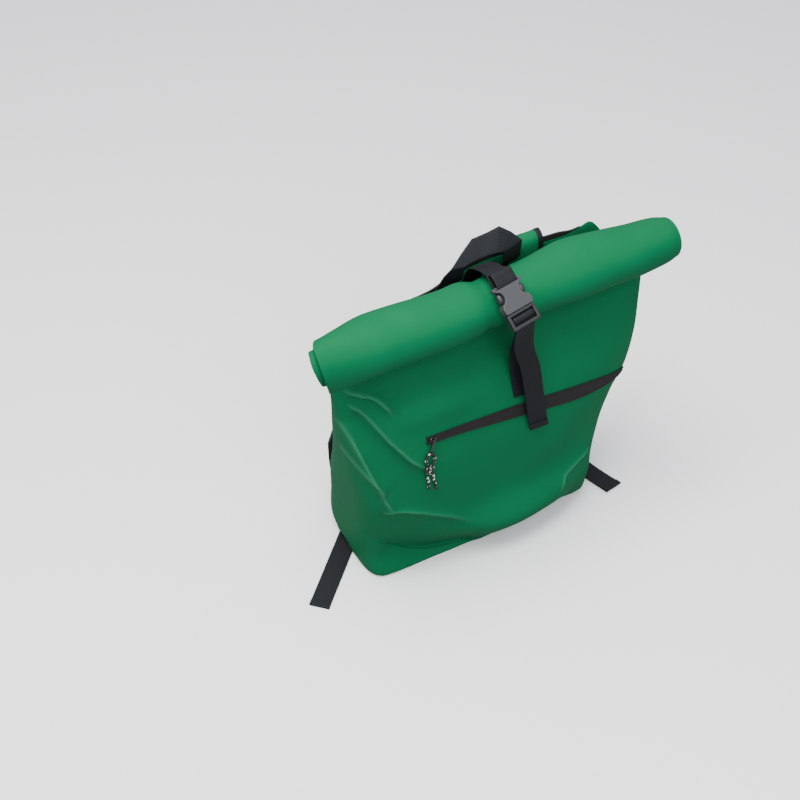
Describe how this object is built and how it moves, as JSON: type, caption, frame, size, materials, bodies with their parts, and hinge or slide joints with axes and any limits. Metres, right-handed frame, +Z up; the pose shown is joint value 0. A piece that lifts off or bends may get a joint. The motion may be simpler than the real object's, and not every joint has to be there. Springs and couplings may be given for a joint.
{
  "type": "rolltop backpack",
  "caption": "Soft standing backpack with a rolled top held by a strap and side-release buckle, front zip, grab handle and padded shoulder straps.",
  "frame": {"origin": "middle of the flat base, on the floor", "axes": "+Z up; -Y is the front with the zip and buckle; +X is to the right as seen from the front"},
  "size_m": [0.4653, 0.2302, 0.4388],
  "materials": {
    "cloth": "smooth woven polyester with a slight sheen",
    "webbing": "ribbed woven webbing",
    "padding": "foam strap in woven polyester",
    "zip": "knitted zip tape with a coil",
    "buckle": "moulded acetal",
    "slider": "dark plated zinc",
    "cord": "braided cord with light flecks"
  },
  "bodies": {
    "root": {"bag_body": "cloth", "bottom_panel": "cloth", "roll_top": "cloth", "back_yoke": "cloth", "yoke_binding": "zip", "zip_tape": "zip", "zip_slider": "slider", "zip_pull": "slider", "pull_cord_loop": "cord", "pull_cord_knot": "cord", "pull_cord_end_left": "cord", "pull_cord_end_right": "cord", "buckle_socket": "buckle", "buckle_plug": "buckle", "closure_strap": "webbing", "front_strap": "webbing", "grab_handle": "webbing", "shoulder_strap_left": "padding", "shoulder_strap_right": "padding", "strap_adjuster_left": "buckle", "strap_adjuster_right": "buckle", "lower_webbing_left": "webbing", "lower_webbing_right": "webbing"}
  },
  "joints": []
}
